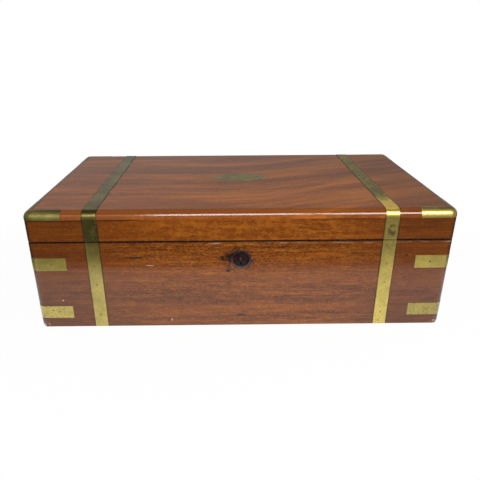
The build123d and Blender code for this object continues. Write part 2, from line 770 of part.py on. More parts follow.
inkwell_x = (divider_x + inner_end) / 2
for side, side_name in ((left, "left"), (right, "right")):
    place = Pos(side * inkwell_x, pen_well_middle, glass_bottom)
    save(f"{side_name}_inkwell_glass", place * glass)
    save(f"{side_name}_inkwell_collar", place * collar)
    save(f"{side_name}_inkwell_cap", place * cap)
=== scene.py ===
"""Looks of a brass bound writing slope: polish, brass, leather, ink, small fixings and a studio.

Everything is in metres. X runs along the box, the lock side faces -Y, the hinge side +Y, Z is up.
"""

import json
import math
from functools import partialmethod

import bmesh
import bpy
from mathutils import Euler, Matrix, Vector


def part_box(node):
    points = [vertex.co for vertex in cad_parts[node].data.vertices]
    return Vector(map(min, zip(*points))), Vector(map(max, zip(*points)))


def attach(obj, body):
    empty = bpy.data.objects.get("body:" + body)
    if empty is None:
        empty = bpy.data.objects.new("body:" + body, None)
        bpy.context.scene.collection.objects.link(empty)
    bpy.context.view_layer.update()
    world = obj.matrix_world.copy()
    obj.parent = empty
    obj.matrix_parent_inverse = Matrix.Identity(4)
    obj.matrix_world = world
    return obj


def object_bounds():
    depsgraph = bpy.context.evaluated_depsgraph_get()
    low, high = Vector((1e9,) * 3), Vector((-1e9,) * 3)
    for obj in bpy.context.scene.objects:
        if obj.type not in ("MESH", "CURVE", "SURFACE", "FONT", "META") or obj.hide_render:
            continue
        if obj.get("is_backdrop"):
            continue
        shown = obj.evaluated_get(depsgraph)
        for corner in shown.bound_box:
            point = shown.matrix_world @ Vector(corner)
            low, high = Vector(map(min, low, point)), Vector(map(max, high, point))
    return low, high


bl_info = {
    "name": "Writing slope",
    "version": (1, 0, 0),
    "blender": (4, 5, 0),
    "location": "3D View > Sidebar > Writing slope",
    "description": "Finishes, small fixings and studio of a brass bound writing slope",
    "category": "Object",
}

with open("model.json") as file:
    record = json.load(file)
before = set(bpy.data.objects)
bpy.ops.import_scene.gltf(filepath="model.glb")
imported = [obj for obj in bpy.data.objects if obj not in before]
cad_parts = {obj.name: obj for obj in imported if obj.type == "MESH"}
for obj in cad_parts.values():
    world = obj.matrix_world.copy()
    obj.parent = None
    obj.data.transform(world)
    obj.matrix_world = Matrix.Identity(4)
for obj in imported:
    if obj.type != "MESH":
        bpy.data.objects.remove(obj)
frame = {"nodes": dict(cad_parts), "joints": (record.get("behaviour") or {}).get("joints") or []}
nodes = frame["nodes"]
box_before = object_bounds()


# ---- Places read from the loaded pieces ----
def span(node, axis):
    """The lowest and the highest coordinate of one piece along an axis."""
    low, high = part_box(node)
    return low[axis], high[axis]


HALF_SEAM_GAP = 0.0004
HALF_HINGE_LEAF = 0.032

strap_low, strap_high = span("base_front_right_strap", 0)
STRAP_X = (strap_low + strap_high) / 2
STRAP_HALF = (strap_high - strap_low) / 2
KEY_LOW, KEY_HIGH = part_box("key_escutcheon")
KEY_Z = (KEY_LOW.z + KEY_HIGH.z) / 2
KEY_RADIUS = (KEY_HIGH.x - KEY_LOW.x) / 2
JOINTS = {joint["name"]: joint for joint in frame["joints"]}
HINGE = Vector(JOINTS["lid_hinge"]["pos_m"])
HALF_LENGTH = span("base_front_board", 0)[1]
HALF_DEPTH = span("base_back_board", 1)[1]
LID_JOINT, HEIGHT = span("lid_top_board", 2)
FRONT_SEAM = span("base_front_board", 2)[1]
SEAM_ANGLE = math.atan2(FRONT_SEAM + HALF_SEAM_GAP - HINGE.z, HINGE.y + HALF_DEPTH)
SEAM_NORMAL = Vector((0, math.sin(SEAM_ANGLE), math.cos(SEAM_ANGLE)))
HINGE_X = span("hinge_base_leaves", 0)[1] - HALF_HINGE_LEAF


# ---- Shader maths ----
class Wire:
    """A shader socket that plain arithmetic works on: every operator adds one Math node."""

    def __init__(self, tree, socket):
        self.tree = tree
        self.socket = socket

    def maths(self, operation, other=0.0):
        """A Math node whose first value is this wire."""
        return self.tree.node("ShaderNodeMath", {0: self, 1: other}, operation=operation)

    __add__ = __radd__ = partialmethod(maths, "ADD")
    __mul__ = __rmul__ = partialmethod(maths, "MULTIPLY")
    __sub__ = partialmethod(maths, "SUBTRACT")
    __truediv__ = partialmethod(maths, "DIVIDE")
    __pow__ = partialmethod(maths, "POWER")
    size = partialmethod(maths, "ABSOLUTE")
    at_least = partialmethod(maths, "MAXIMUM")
    at_most = partialmethod(maths, "MINIMUM")

    def __rsub__(self, other):
        return self.tree.node("ShaderNodeMath", {0: other, 1: self}, operation="SUBTRACT")

    def rise(self, start, end):
        """0 below start, 1 above end and smooth between them. It falls if start is the larger."""
        if start > end:
            return 1 - self.rise(end, start)
        sockets = {0: self, 1: start, 2: end}
        return self.tree.node("ShaderNodeMapRange", sockets, interpolation_type="SMOOTHSTEP")

    def near(self, middle, width, soft):
        """1 within width / 2 of a value, fading to 0 over a soft margin."""
        return (self - middle).size().rise(width / 2 + soft, width / 2)


class NodeTree:
    """The nodes of a material or of the world, filled from empty."""

    def __init__(self, owner):
        owner.use_nodes = True
        owner.node_tree.nodes.clear()
        self.owner = owner

    def node(self, kind, sockets=None, output=0, **settings):
        """Add one node, set it up, feed its sockets with values or wires, and give back one output."""
        made = self.owner.node_tree.nodes.new(kind)
        for name, value in settings.items():
            setattr(made, name, value)
        for name, value in (sockets or {}).items():
            if isinstance(value, Wire):
                self.owner.node_tree.links.new(value.socket, made.inputs[name])
            else:
                made.inputs[name].default_value = value
        return Wire(self, made.outputs[output]) if len(made.outputs) else made

    def looked_at(self):
        """1 where the eye looks, straight, in gloss or through glass, and 0 for light that falls."""
        camera, glossy, through = (
            self.node("ShaderNodeLightPath", output=f"Is {kind} Ray")
            for kind in ("Camera", "Glossy", "Transmission")
        )
        return camera.at_least(glossy).at_least(through)


class Look(NodeTree):
    """One material while it is being mixed: its nodes, the place on the object and its shader."""

    def __init__(self, name):
        super().__init__(bpy.data.materials.new(name))
        self.place = self.node("ShaderNodeTexCoord", output="Object")
        self.x, self.y, self.z = (
            self.node("ShaderNodeSeparateXYZ", {0: self.place}, axis) for axis in "XYZ"
        )

    def stretched(self, scale, shift=(0, 0, 0)):
        """The place on the object in pattern cells: so many a metre along all axes or along each."""
        if isinstance(scale, (int, float)):
            scale = (scale, scale, scale)
        return self.node("ShaderNodeMapping", {0: self.place, 1: shift, 3: scale})

    def noise(self, scale, detail=3.0, roughness=0.55, distortion=0.0, shift=(0, 0, 0)):
        """Soft random unevenness between about 0.25 and 0.75."""
        sockets = {"Vector": self.stretched(scale, shift), "Scale": 1.0, "Detail": detail}
        sockets.update({"Roughness": roughness, "Distortion": distortion})
        return self.node("ShaderNodeTexNoise", sockets, "Fac")

    def mix(self, share, first, second):
        """A colour between two colours."""
        return self.node("ShaderNodeMix", {0: share, 6: first, 7: second}, 2, data_type="RGBA")

    def speck(self, place, half_sizes, soft):
        """An oval mark on the surface: 1 inside, 0 outside. A half size of 0 leaves that axis free."""
        total = 0
        for wire, middle, half in zip((self.x, self.y, self.z), place, half_sizes):
            if half:
                total = ((wire - middle) / half) ** 2 + total
        return total.rise(1 + soft, 1 - soft)

    def bump(self, height, strength, distance, below=None):
        """A normal bent by a height, over a normal that is bent already."""
        sockets = {"Height": height, "Strength": strength, "Distance": distance}
        if below:
            sockets["Normal"] = below
        return self.node("ShaderNodeBump", sockets, "Normal")

    def polished(self, **sockets):
        """End with a Principled shader fed by these sockets, with underscores for spaces."""
        named = {name.replace("_", " "): value for name, value in sockets.items()}
        return self.ended(self.node("ShaderNodeBsdfPrincipled", named))

    def ended(self, shader):
        """Lead a shader to the output and give back the material."""
        self.node("ShaderNodeOutputMaterial", {"Surface": shader})
        return self.owner


def rgba(colour, strength=1.0):
    """A colour with an alpha of 1, and its brightness scaled."""
    return tuple(min(1.0, part * strength) for part in colour[:3]) + (1.0,)


def give(names, material):
    """Put one material on every slot of these pieces."""
    for name in names:
        mesh = nodes[name].data
        mesh.materials.clear()
        mesh.materials.append(material)


# ---- Sizes and colours ----
def setting(kind, name, description, default, **limits):
    return kind(name=name, description=description, default=default, min=0, **limits)


def colour_setting(*words):
    return setting(bpy.props.FloatVectorProperty, *words, size=3, max=1, subtype="COLOR")


def length_setting(*words):
    return setting(bpy.props.FloatProperty, *words, subtype="DISTANCE", unit="LENGTH")


def share_setting(*words):
    return setting(bpy.props.FloatProperty, *words, max=1, subtype="FACTOR")


def power_setting(*words):
    return setting(bpy.props.FloatProperty, *words, unit="POWER")


class WoodSettings(bpy.types.PropertyGroup):
    """Colours and polish of the mahogany."""

    ground: colour_setting("Ground", "Main colour of the mahogany", (0.188, 0.0435, 0.0030))
    dark_grain: colour_setting("Dark grain", "Dark streaks along the grain", (0.072, 0.0165, 0.0025))
    light_grain: colour_setting("Light grain", "Golden streaks along the grain", (0.34, 0.104, 0.007))
    # On the upper part of the rounded front edge this colour is painted shade as well as rubbed wood.
    rubbed_and_shaded_edge: colour_setting("Rubbed edge", "Redder wood on the rubbed edges", (0.232, 0.060, 0.0032))
    # The grime colour also paints shade: in the gaps beside the straps, in the seam and along rounded
    # edges.
    grime_and_shade: colour_setting("Grime", "Dirt in joints and along the brass", (0.012, 0.008, 0.006))
    # This pale colour also paints a highlight under the rim on the right half of the front.
    bare_speck_and_glint: colour_setting("Bare speck", "Pale wood where the polish is chipped", (0.50, 0.40, 0.30))
    polish_roughness: share_setting("Polish roughness", "How dull the old polish is", 0.12)
    grain_length: length_setting("Grain length", "Usual length of one streak", 0.2)


class BrassSettings(bpy.types.PropertyGroup):
    """Colours of the brass."""

    clean: colour_setting("Clean", "Brass without a film", (0.66, 0.52, 0.13))
    # On the right-hand pieces this bright brass is partly painted light.
    bright: colour_setting("Bright", "Brass that hands keep bright", (0.90, 0.60, 0.11))
    tarnish: colour_setting("Tarnish", "Old brown film", (0.28, 0.215, 0.06))
    green: colour_setting("Green film", "Film with some green in it", (0.19, 0.175, 0.035))
    stain: colour_setting("Stain", "Dark stains and specks", (0.050, 0.031, 0.013))
    blackened: colour_setting("Blackened", "The blackened key plate", (0.045, 0.042, 0.042))
    roughness: share_setting("Roughness", "How dull the brass is", 0.3)


class InsideSettings(bpy.types.PropertyGroup):
    """Colours of what the shut box hides."""

    hide: colour_setting("Leather", "Colour of the writing leather", (0.018, 0.042, 0.024))
    gilt: colour_setting("Gilt", "Tooled gold line on the leather", (0.62, 0.42, 0.12))
    gilt_inset: length_setting("Gilt inset", "How far in the gold line runs", 0.006)
    gilt_width: length_setting("Gilt width", "Width of the gold line", 0.0012)
    glass: colour_setting("Glass", "Tint of the inkwells", (0.80, 0.90, 0.87))
    ink: colour_setting("Dried ink", "Dried blue black ink", (0.008, 0.010, 0.030))
    steel: colour_setting("Lock steel", "The lock's dulled plates", (0.20, 0.185, 0.17))


class FixingSettings(bpy.types.PropertyGroup):
    """Sizes of the small pins and screws."""

    pin_diameter: length_setting("Pin diameter", "Brass pins through the straps", 0.0020)
    pin_height: length_setting("Pin height", "How far a pin stands over the brass", 0.00008)
    screw_diameter: length_setting("Screw diameter", "Heads of the hinge and lock screws", 0.0046)
    slot_width: length_setting("Slot width", "Slot of a screw head", 0.0006)


class StudioSettings(bpy.types.PropertyGroup):
    """Light and floor."""

    daylight: share_setting("Daylight", "Even light from all round", 0.25)
    lamp_power: power_setting("Lamp power", "Power of each of the two soft lamps in front", 10.2)
    fill_power: power_setting("Fill power", "Power of each lamp behind", 7.0)
    floor_paper: colour_setting("Floor", "Colour of the paper under the box", (0.93, 0.93, 0.93))
    shadow: share_setting("Shadow", "How much of the shadow shows on the paper", 0.05)
    paper_reach: length_setting("Paper reach", "How far the reflected paper reaches", 0.16)
    room_left: share_setting("Room at the left", "Brightness of the room in reflections", 0.31)
    room_right: share_setting("Room at the right", "Brightness of the room in reflections", 0.20)
    table_left: share_setting("Table at the left", "Brightness of the table in reflections", 0.02)
    table_right: share_setting("Table at the right", "Brightness of the table in reflections", 0.05)


# ---- Wood ----
POLISH_IOR = 1.58
BULLNOSE = 0.0092
KEY_DISC = 0.0094

# Marks on the front of the base: x, z, half width, half height, soft margin and strength.
KEY_STAINS = (
    (-0.0185, 0.0930, 0.0078, 0.0036, 0.5, 1.0),
    (-0.0120, 0.0965, 0.0040, 0.0022, 0.5, 1.0),
    (-0.0150, 0.0765, 0.0026, 0.0018, 0.5, 1.0),
)
DARK_SPOTS = (
    (-0.125, 0.0945, 0.011, 0.0011, 0.6, 1.0),
    (0.0005, 0.0155, 0.0055, 0.0016, 0.5, 1.0),
    (0.195, 0.0955, 0.0018, 0.0014, 0.4, 1.0),
)
CHIPS = (
    (-0.217, 0.038, 0.0009, 0.0009, 0.3, 1.0),
    (-0.1080, 0.0845, 0.005, 0.0004, 0.5, 0.5),
    (-0.0857, 0.0095, 0.0012, 0.0020, 0.5, 0.5),
)
STAIN_COLOUR = (0.012, 0.004, 0.004, 1)
DISC_COLOUR = (0.016, 0.003, 0.004, 1)
PURPLE_COLOUR = (0.20, 0.085, 0.06, 1)
FADED_COLOUR = (0.32, 0.17, 0.09, 1)


def along(grain, long, cross):
    """Pattern cells a metre for a grain along X, Y or Z."""
    return tuple(long if axis == grain else cross for axis in "xyz")


def seam_distance(look):
    """How far a place is above the slanting seam."""
    return (look.y - HINGE.y) * SEAM_NORMAL.y + (look.z - HINGE.z) * SEAM_NORMAL.z


def bend_grain(look, bend):
    """Let the grain drift towards the back on the right half of a board."""
    drift = (look.x + 0.02) * look.x.rise(-0.08, 0.14) * bend
    bent = {0: look.x, 1: look.y - drift, 2: look.z}
    look.place = look.node("ShaderNodeCombineXYZ", bent)


def mahogany(
    settings, name, grain="x", shift=(0, 0, 0), tone=1.0, fleck=1.0, bend=0.0, fine=1.0, marks=None
):
    """Old polished mahogany with its grain along one axis; marks adds what belongs to one board."""
    look = Look(name)
    if bend:
        bend_grain(look, bend)

    def pattern(lengthwise, across, detail, roughness, distortion):
        return look.noise(along(grain, lengthwise, across), detail, roughness, distortion, shift)

    long = 1 / settings.grain_length
    bands = pattern(0.45 * long, 30, 3.0, 0.5, 0.5)
    streaks = pattern(1.6 * long, 170 * fine, 4.0, 0.6, 0.4)
    lines = pattern(6 * long, 640 * fine, 3.0, 0.65, 0.2)
    flecks = pattern(20 * long, 900, 3.0, 0.6, 0.0)
    patches = pattern(12, 45, 2.0, 0.5, 0.0)
    figure = pattern(70, 150, 3.0, 0.65, 0.3)
    grit = pattern(420, 900 * fine, 2.0, 0.6, 0.0)
    waves = pattern(12, 60, 2.0, 0.5, 0.0)

    dark = bands.rise(0.58, 0.40) * 0.5 + streaks.rise(0.55, 0.36) * 0.4
    colour = look.mix(dark, rgba(settings.ground, tone), rgba(settings.dark_grain, tone))
    light = lines.rise(0.44, 0.64) * 0.34 + streaks.rise(0.48, 0.66) * 0.35
    light = light + figure.rise(0.46, 0.62) * 0.25 * fleck + (grit - 0.5) * (1.3 + fleck)
    light = light.at_least(0.0).at_most(1.0)
    colour = look.mix(light, colour, rgba(settings.light_grain, tone))
    spots = flecks.rise(0.47, 0.38) * (0.35 + patches.rise(0.42, 0.58) * 0.65)
    colour = look.mix(spots * (0.05 + 0.6 * fleck), colour, rgba(settings.dark_grain, tone * 0.7))
    rough = settings.polish_roughness + lines * 0.05 + spots * 0.12
    if marks:
        colour, rough = marks(settings, look, colour, rough)
    wavy = look.bump(waves, 0.25, 0.0006)
    normal = look.bump(lines * 0.25 - spots * 0.5, 0.3, 0.0001, wavy)
    return look.polished(Base_Color=colour, Roughness=rough, Normal=normal, IOR=POLISH_IOR)


# Marks of single boards: each function changes the board's colour and roughness.
def shade_and_dirt_lines(settings, look, colour, rough):
    """Dirt beside the straps, in the seam and on the upright corners."""
    uneven = look.noise(60)
    beside = (look.x.size() - STRAP_X).size()
    # Painted shade, with some dirt, in the gaps beside the straps and in the seam; painted shade on the
    # rounded upright corners.
    strap_shade_and_dirt = beside.near(STRAP_HALF + 0.0005, 0.0010, 0.0007) * uneven.rise(0.30, 0.55) * 0.8
    seam_shade_and_dirt = seam_distance(look).size().rise(0.0017, 0.0008)
    corner_shade = look.x.size().rise(HALF_LENGTH - 0.0030, HALF_LENGTH - 0.0008) * 0.6
    dirt = strap_shade_and_dirt.at_least(seam_shade_and_dirt).at_least(corner_shade)
    colour = look.mix(dirt * 0.92, colour, rgba(settings.grime_and_shade))
    return colour, rough + dirt * 0.1


def shaded_ends(settings, look, colour):
    """The boards of the front are darker towards both ends, most at the left."""
    ends = look.x.rise(-0.09, -0.22) * 0.55 + look.x.rise(0.10, 0.21) * 0.55
    return look.mix(ends, colour, rgba(settings.dark_grain))


def strongest(look, marks):
    """The strongest of several oval marks on the front."""
    total = None
    for x, z, across, tall, soft, strength in marks:
        mark = look.speck((x, 0, z), (across, 0, tall), soft) * strength
        total = total.at_least(mark) if total else mark
    return total


def mottled_middle(settings, look, colour):
    """Golden and dark mottles on both sides of the key plate."""
    mottle = look.noise((230, 230, 520), 3.0, 0.7, 0.0, (3, 1, 2))
    patch = look.speck((-0.02, 0, 0.102), (0.12, 0, 0.024), 0.8)
    golden = mottle.rise(0.53, 0.66) * patch * 0.5
    colour = look.mix(golden, colour, rgba(settings.light_grain, 1.1))
    dark = mottle.rise(0.44, 0.35) * patch * 0.6
    return look.mix(dark, colour, rgba(settings.dark_grain, 0.6))


def key_stains(look, colour):
    """The stain round the key plate, the blots at its left and the dark disc inside it."""
    edge = look.noise((210, 210, 260), 4.0, 0.6)
    half_sizes = (KEY_RADIUS + 0.006, 0, KEY_RADIUS + 0.003)
    ring = look.speck((-0.0035, 0, KEY_Z), half_sizes, 0.5) * edge.rise(0.45, 0.55)
    stain = ring.at_least(strongest(look, KEY_STAINS) * edge.rise(0.28, 0.50))
    return look.mix(stain * 0.95, colour, STAIN_COLOUR)


def bare_wood_and_glint(look):
    """Where the polish is gone: chips, wear under the rim by the lock, and the lower corners."""
    # Under the rim: wear by the lock, and a painted highlight on the arris along the right half.
    worn_and_lit = look.x.near(-0.030, 0.012, 0.004).at_least(look.x.rise(-0.01, 0.04) * 0.5)
    ragged = look.noise((55, 400, 400), 3.0, 0.6, 0.0, (7, 0, 0)).rise(0.48, 0.62)
    rim = seam_distance(look).near(-0.0026, 0.0008, 0.0006) * worn_and_lit * ragged
    corner = look.x.size().rise(HALF_LENGTH - 0.011, HALF_LENGTH - 0.006)
    corner = corner * look.z.rise(0.0075, 0.0035)
    corner = corner * look.noise(300, 3.0, 0.6, 0.0, (1, 0, 5)).rise(0.50, 0.60)
    return strongest(look, CHIPS).at_least(rim * 0.55).at_least(corner * 0.8)


def front_marks(settings, look, colour, rough):
    colour = mottled_middle(settings, look, colour)
    colour = shaded_ends(settings, look, colour)
    colour = key_stains(look, colour)
    spots = strongest(look, DARK_SPOTS)
    colour = look.mix(spots * 0.9, colour, rgba(settings.grime_and_shade, 1.8))
    disc = look.speck((0, 0, KEY_Z), (KEY_DISC, 0, KEY_DISC), 0.03)
    colour = look.mix(disc * 0.97, colour, DISC_COLOUR)
    # Pale wood of chips and wear, with a painted highlight under the rim.
    bare_and_glint = bare_wood_and_glint(look)
    colour, rough = shade_and_dirt_lines(settings, look, colour, rough)
    return look.mix(bare_and_glint, colour, rgba(settings.bare_speck_and_glint)), rough + bare_and_glint * 0.3


def joint_dirt(look):
    """Dirt in the glue joint under the lid's top: thick at the left, a trace at the right."""
    trace = look.x.rise(0.05, 0.10) * look.x.rise(0.21, 0.17)
    return look.x.rise(-0.10, -0.14) * 0.9 + trace * 0.45


def lid_front_marks(settings, look, colour, rough):
    colour = shaded_ends(settings, look, colour)
    golden = look.noise((120, 120, 160), 3.0, 0.6, 0.0, (6, 1, 2)).rise(0.48, 0.60)
    middle = look.x.rise(-0.12, -0.06) * look.x.rise(0.16, 0.08)
    colour = look.mix(golden * middle * 0.3, colour, rgba(settings.light_grain, 1.1))
    joint = look.z.rise(LID_JOINT - 0.0010, LID_JOINT - 0.0003) * joint_dirt(look)
    colour = look.mix(joint, colour, rgba(settings.grime_and_shade))
    return shade_and_dirt_lines(settings, look, colour, rough)


def top_marks(settings, look, colour, rough):
    """Rubbed rounded edge, broad bands, a purple middle, darker right end, faded flat and dirt."""
    out = (look.y * -1 - (HALF_DEPTH - BULLNOSE)) / BULLNOSE
    # The rounded front edge takes a redder colour, strongest on its upper part, where it is painted
    # shade as well as rubbed wood.
    edge = out.rise(-0.05, 0.25)
    upper = look.z.rise(HEIGHT - 0.0085, HEIGHT - 0.004)
    colour = look.mix(edge * (0.25 + upper * 0.55), colour, rgba(settings.rubbed_and_shaded_edge))
    broad = look.noise((2.4, 22, 22), 3.0, 0.55, 0.4, (3, 8, 0))
    colour = look.mix(broad.rise(0.54, 0.38) * 0.5, colour, rgba(settings.dark_grain, 2.0))
    colour = look.mix(broad.rise(0.50, 0.64) * 0.4, colour, rgba(settings.light_grain, 1.9))
    purple = look.y.rise(-0.02, 0.10) * look.x.size().rise(0.20, 0.08)
    colour = look.mix(purple * 0.3, colour, PURPLE_COLOUR)
    end = look.x.rise(-0.02, 0.14) * 0.13 + look.x.rise(0.13, 0.22) * 0.4
    colour = look.mix(end, colour, rgba(settings.dark_grain, 1.4))
    flat = look.z.rise(HEIGHT - 0.003, HEIGHT - 0.001)
    colour = look.mix(flat * 0.12, colour, FADED_COLOUR)
    joint = (look.z - LID_JOINT).rise(0.0010, 0.0002) * (joint_dirt(look) + 0.1)
    # Painted shade along the rounded side and back edges of the top.
    side = look.x.size().rise(HALF_LENGTH - 0.0075, HALF_LENGTH - 0.002)
    rear_shade = look.y.rise(HALF_DEPTH - 0.006, HALF_DEPTH - 0.001)
    dirt = joint.at_least(side * 0.8).at_least(rear_shade * 0.6).at_most(1.0)
    colour = look.mix(dirt, colour, rgba(settings.grime_and_shade))
    return shade_and_dirt_lines(settings, look, colour, rough - edge * 0.03)


# Each mahogany: what is its own, and the boards of it.
WOODS = {
    "front": (dict(shift=(0, 0, 1.3), tone=0.92, marks=front_marks), "base_front_board"),
    "lid_front": (dict(shift=(2.1, 0, 4.7), tone=0.90, marks=lid_front_marks), "lid_front_board"),
    "back": (dict(shift=(5.0, 0, 2.2), marks=shade_and_dirt_lines), "base_back_board", "lid_back_board"),
    "sides": (
        dict(grain="y", shift=(8.0, 3.0, 0), marks=shade_and_dirt_lines),
        "base_left_board", "base_right_board", "lid_left_board", "lid_right_board",
    ),
    "top": (
        dict(shift=(1.0, 6.3, 0), tone=1.62, fleck=0.1, bend=0.30, fine=0.42, marks=top_marks),
        "lid_top_board",
    ),
    "inside": (
        dict(shift=(4.0, 9.0, 1.0), tone=0.9),
        "base_bottom_board", "base_flap_rail", "lid_flap_rail", "base_flap_battens",
        "lid_flap_battens", "base_writing_flap", "lid_writing_flap", "pen_well_partition",
        "inkwell_floors", "pen_tray_bearers",
    ),
    "dividers": (dict(grain="y", shift=(4.0, 2.0, 3.0), tone=0.95), "ink_dividers"),
    "tray": (dict(shift=(0.5, 4.0, 7.0), tone=1.1), "pen_tray"),
}


class SLOPE_OT_polish_wood(bpy.types.Operator):
    """Give every board its own mahogany, with the grain along the board"""

    bl_idname = "slope.polish_wood"
    bl_label = "Polish the mahogany"

    def execute(self, context):
        for name, (own, *boards) in WOODS.items():
            give(boards, mahogany(context.scene.slope_wood, f"mahogany_{name}", **own))
        return {"FINISHED"}


# ---- Brass ----
PIN_RING = 0.0012
PIN_HEIGHTS = (0.0180, 0.0595, 0.0845, 0.1287)
PIN_DEPTHS = (0.045, 0.085, 0.1285)
# Grey of rubbed spots on the key plate, and of its painted highlight.
RUBBED_AND_LIT_GREY = (0.22, 0.21, 0.22, 1)
# Heights between which a strap's marks rise or fall on the front.
LID_FILM_AND_SHADE, BASE_FILM_AND_SHADE_FOOT, BASE_FILM_AND_SHADE_TOP = (0.108, 0.116), (0.084, 0.098), (0.118, 0.114)
LID_MOTTLE_FOOT = (0.112, 0.115)


def old_brass(
    settings, name, film=0.5, green=0.0, specks=0.3, shift=(0, 0, 0), dull=0.0, marks=None, wax=0.5
):
    """Brass under a film, with dark specks and fine scratches. A film below 0 is bright brass."""
    look = Look(name)
    cloud = look.noise(28, 5.0, 0.6, 0.6, shift)
    fine = look.noise(240, 4.0, 0.6, 0.0, shift)
    dots = look.noise(520, 2.0, 0.5, 0.0, shift)
    rubbed = look.noise((60, 900, 900), 2.0, 0.5, 0.0, shift)
    dents = look.noise(70, 2.0, 0.5, 0.0, shift)
    share = (cloud - 0.5) * 1.8 + (fine - 0.5) * 0.7 + film
    on_top = look.z.rise(HEIGHT - 0.006, HEIGHT - 0.001)
    greener = ((1 - on_top) * 0.3 + green).at_least(0.0).at_most(1.0)
    film_colour = look.mix(greener, rgba(settings.tarnish), rgba(settings.green))
    dark = dots.rise(0.40, 0.33) * specks + (cloud * fine).rise(0.19, 0.13) * specks
    dark = dark.at_most(1.0)
    rough = settings.roughness + dull + share * 0.16 + dark * 0.25 + (rubbed - 0.5) * 0.12
    if marks:
        share, rough, dark = marks(look, share, rough, dark)
    share = share.at_most(1.0)
    # Below 0 the film gives way to bright, less metallic brass; on the right-hand pieces that brightness
    # is partly painted light.
    bright = (share * -1).at_least(0.0)
    rubbed_and_lit_bright = look.mix(bright, rgba(settings.clean), rgba(settings.bright))
    colour = look.mix(share.at_least(0.0), rubbed_and_lit_bright, film_colour)
    colour = look.mix(dark * 0.9, colour, rgba(settings.stain))
    wavy = look.bump(dents, 0.2, 0.0006)
    normal = look.bump(rubbed + fine * 0.6, 0.25, 0.00006, wavy)
    return look.polished(
        Base_Color=colour, Metallic=1 - dark * 0.5 - bright * 0.5, Roughness=rough, Normal=normal,
        Coat_Weight=wax, Coat_Roughness=0.15,
    )


# Marks of single pieces: each function changes the share of film, the roughness and the stains.
def strap_pins(look, rough, dark):
    """Filed flush pin heads down the middle of a strap, each in its ring of dirt."""
    across = (look.x.size() - STRAP_X) / PIN_RING
    on_top = look.z.rise(HEIGHT - 0.004, HEIGHT - 0.002)
    rings = 0
    for wire, places, face in (
        (look.z, PIN_HEIGHTS, 1 - on_top),
        (look.y.size(), PIN_DEPTHS, on_top),
    ):
        for place in places:
            away = (across ** 2 + ((wire - place) / PIN_RING) ** 2) ** 0.5
            rings = away.near(0.85, 0.3, 0.3) * face + rings
    return rough + rings * 0.1, (dark + rings * 0.75).at_most(1.0)


def left_strap_marks(look, share, rough, dark):
    """Brown film over the front of the lid, its rounded edge and the far end of its top."""
    # The thicker film down the lid front, over the rounded edge and on the upper part of the base straps
    # is partly painted shade that dulls the reflections there.
    front = look.z.rise(HEIGHT - 0.001, HEIGHT - 0.007) * look.z.rise(*LID_FILM_AND_SHADE)
    far = look.z.rise(HEIGHT - 0.002, HEIGHT) * look.y.rise(0.03, 0.12)
    below = look.z.rise(*BASE_FILM_AND_SHADE_FOOT) * look.z.rise(*BASE_FILM_AND_SHADE_TOP)
    rough, dark = strap_pins(look, rough, dark)
    share = share + front * 0.5 + far * 0.3 + below * 0.25
    return share, rough, (dark + front * 0.2 + far * 0.05).at_most(1.0)


def right_strap_marks(look, share, rough, dark):
    """Stains round the pin near the lid's edge and below the seam; bright where hands open the lid."""
    pin = look.speck((STRAP_X + 0.001, -HALF_DEPTH, 0.1270), (0.0060, 0.01, 0.0095), 0.8)
    below = look.speck((STRAP_X, -HALF_DEPTH, 0.107), (0.009, 0.01, 0.0075), 0.9)
    stain = (pin + below * 0.6) * look.noise(210, 4.0, 0.65, 0.0, (4, 4, 4)).rise(0.42, 0.54)
    top = look.z.rise(HEIGHT - 0.002, HEIGHT)
    lid_front = look.z.rise(*LID_MOTTLE_FOOT) * look.z.rise(HEIGHT - 0.005, HEIGHT - 0.009)
    mottle = look.noise(150, 4.0, 0.65, 0.0, (5, 5, 5)).rise(0.44, 0.60)
    # Bright brass towards the rounded front edge: hand wear and a painted highlight.
    handled_and_lit = look.y.rise(-0.080, -0.118) * 1.05
    film = top * (-0.06 - handled_and_lit - look.y.rise(0.06, 0.12) * 0.2)
    film = film + mottle * (lid_front * 0.10 + top * 0.40)
    rough, dark = strap_pins(look, rough, dark)
    return (share + film).at_least(-1.0), rough, (dark + stain).at_most(1.0)


def cartouche_marks(look, share, rough, dark):
    """Two dark dents in the middle ornament."""
    dents = look.speck((-0.0088, -0.001, 0), (0.0013, 0.004, 0), 0.6)
    dents = dents.at_least(look.speck((0.0257, 0.003, 0), (0.0018, 0.004, 0), 0.6))
    return share, rough, (dark + dents * 0.8).at_most(1.0)


